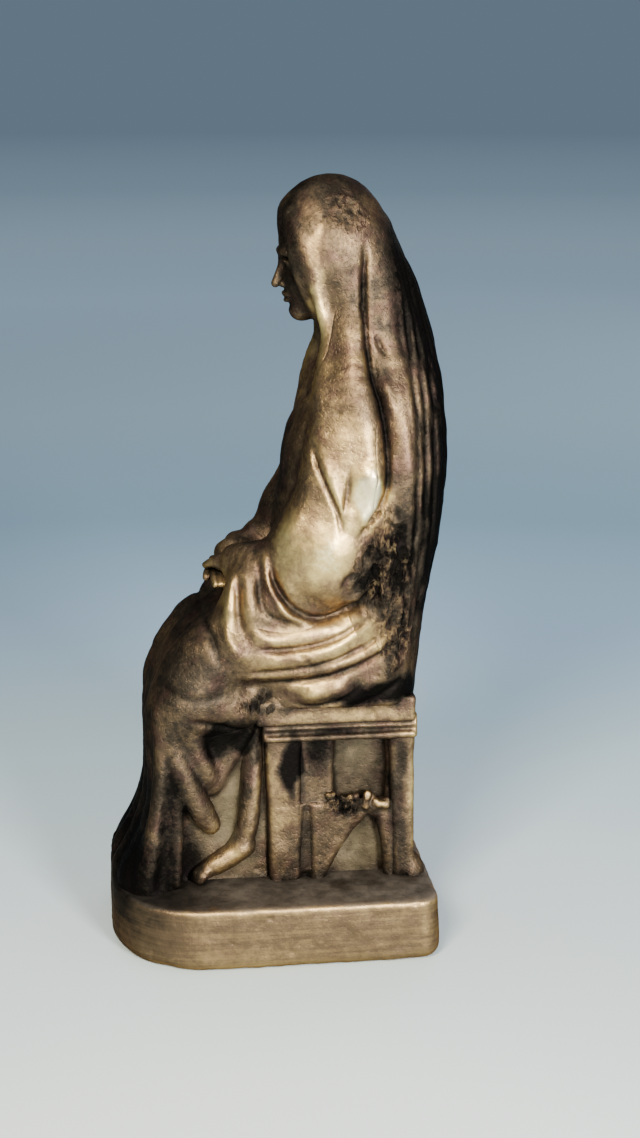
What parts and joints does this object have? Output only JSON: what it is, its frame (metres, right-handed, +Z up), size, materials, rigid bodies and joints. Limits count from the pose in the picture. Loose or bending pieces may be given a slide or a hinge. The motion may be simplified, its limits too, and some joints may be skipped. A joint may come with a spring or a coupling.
{
  "type": "bronze statuette",
  "caption": "Small cast bronze of a veiled woman seated on a four-legged stool, on a plinth with a rounded front, made of castings tied by a rod and nut from below",
  "frame": {"origin": "middle of the object's footprint, on the surface that the plinth stands on", "axes": "+Z is up, the figure faces -Y, and the figure's left side is +X"},
  "size_m": [0.035, 0.045, 0.1],
  "materials": {
    "bronze_patina": "cast bronze, dark brown patina rubbed to pale brass on the raised folds, greenish grey in the hollows",
    "bronze_stool": "cast bronze, worn edges bright, grey-green film in the recesses",
    "bronze_plinth": "cast and linished bronze, bright olive brass with fine level scratches, darker on top",
    "steel": "plain machined steel",
    "brass": "plain drawn brass"
  },
  "bodies": {
    "root": {"torso": "bronze_patina", "head": "bronze_patina", "veil": "bronze_patina", "lap_drapery": "bronze_patina", "skirt": "bronze_patina", "left_sleeve": "bronze_patina", "right_sleeve": "bronze_patina", "left_hand": "bronze_patina", "right_hand": "bronze_patina", "left_foot": "bronze_patina", "right_foot": "bronze_patina", "seat_slab": "bronze_stool", "stool_infill": "bronze_stool", "rear_apron": "bronze_stool", "rear_stretcher": "bronze_stool", "left_front_leg": "bronze_stool", "left_rear_leg": "bronze_stool", "left_apron": "bronze_stool", "left_stretcher": "bronze_stool", "right_front_leg": "bronze_stool", "right_rear_leg": "bronze_stool", "right_apron": "bronze_stool", "right_stretcher": "bronze_stool", "plinth": "bronze_plinth", "tie_rod": "steel", "tie_washer": "steel", "tie_nut": "steel", "neck_pin": "brass"}
  },
  "joints": []
}
